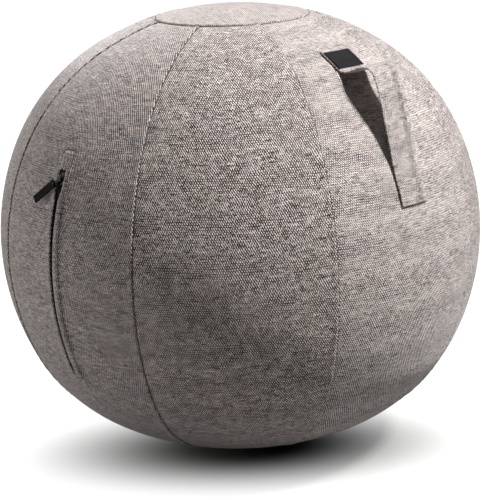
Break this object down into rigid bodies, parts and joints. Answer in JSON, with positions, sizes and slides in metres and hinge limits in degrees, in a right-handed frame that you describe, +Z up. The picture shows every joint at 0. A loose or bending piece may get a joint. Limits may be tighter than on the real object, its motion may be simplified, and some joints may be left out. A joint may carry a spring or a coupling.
{
  "type": "balance ball chair",
  "caption": "Round sitting ball in a sewn fabric cover with a flat base, a carry handle and a zip, for office or home seating.",
  "frame": {"origin": "centre of the base panel, on the floor", "axes": "+Z up through the crown; -Y towards the panel with the zip; +X towards the panel with the carry handle"},
  "size_m": [0.648, 0.651, 0.596],
  "materials": {
    "cover_fabric": "matte",
    "base_fabric": "matte",
    "seam_tape": "matte",
    "pad_rubber": "matte",
    "ball_rubber": "satin",
    "valve_plastic": "matte",
    "zip_tape": "matte",
    "zip_plastic": "matte",
    "zip_metal": "satin",
    "label_fabric": "matte"
  },
  "bodies": {
    "ball": {"zip_panel": "cover_fabric", "front_right_panel": "cover_fabric", "handle_panel": "cover_fabric", "back_right_panel": "cover_fabric", "back_panel": "cover_fabric", "back_left_panel": "cover_fabric", "left_panel": "cover_fabric", "front_left_panel": "cover_fabric", "top_panel": "cover_fabric", "base_panel": "base_fabric", "base_insert": "pad_rubber", "inner_ball": "ball_rubber", "valve_seat": "valve_plastic", "valve_plug": "valve_plastic", "seam_tape_1": "seam_tape", "seam_tape_2": "seam_tape", "seam_tape_3": "seam_tape", "seam_tape_4": "seam_tape", "seam_tape_5": "seam_tape", "seam_tape_6": "seam_tape", "seam_tape_7": "seam_tape", "seam_tape_8": "seam_tape", "top_seam_ring": "seam_tape", "handle_strap": "cover_fabric", "handle_label": "label_fabric", "handle_patch_lower": "seam_tape", "handle_patch_upper": "seam_tape", "zip_tape_left": "zip_tape", "zip_tape_right": "zip_tape", "zip_coil_left": "zip_plastic", "zip_coil_right": "zip_plastic", "zip_top_stop_left": "zip_metal", "zip_top_stop_right": "zip_metal", "zip_bottom_stop": "zip_metal"},
    "slider": {"zip_slider": "zip_metal"},
    "link": {"pull_link": "zip_metal"},
    "tab": {"pull_tab": "zip_plastic"}
  },
  "joints": [
    {"name": "zip_travel", "type": "hinge", "parent": "ball", "child": "slider", "pos_m": [0, 0, 0.291], "axis": [1, 0, 0], "range_deg": [0, 44]},
    {"name": "pull_swing", "type": "hinge", "parent": "slider", "child": "link", "pos_m": [0, -0.30307, 0.41618], "axis": [0, -0.9243, 0.3818], "range_deg": [-42, 138]},
    {"name": "pull_flip", "type": "hinge", "parent": "link", "child": "tab", "pos_m": [-0.00892, -0.30696, 0.4091], "axis": [-0.6691, 0.2837, 0.6869], "range_deg": [-5, 120]}
  ]
}
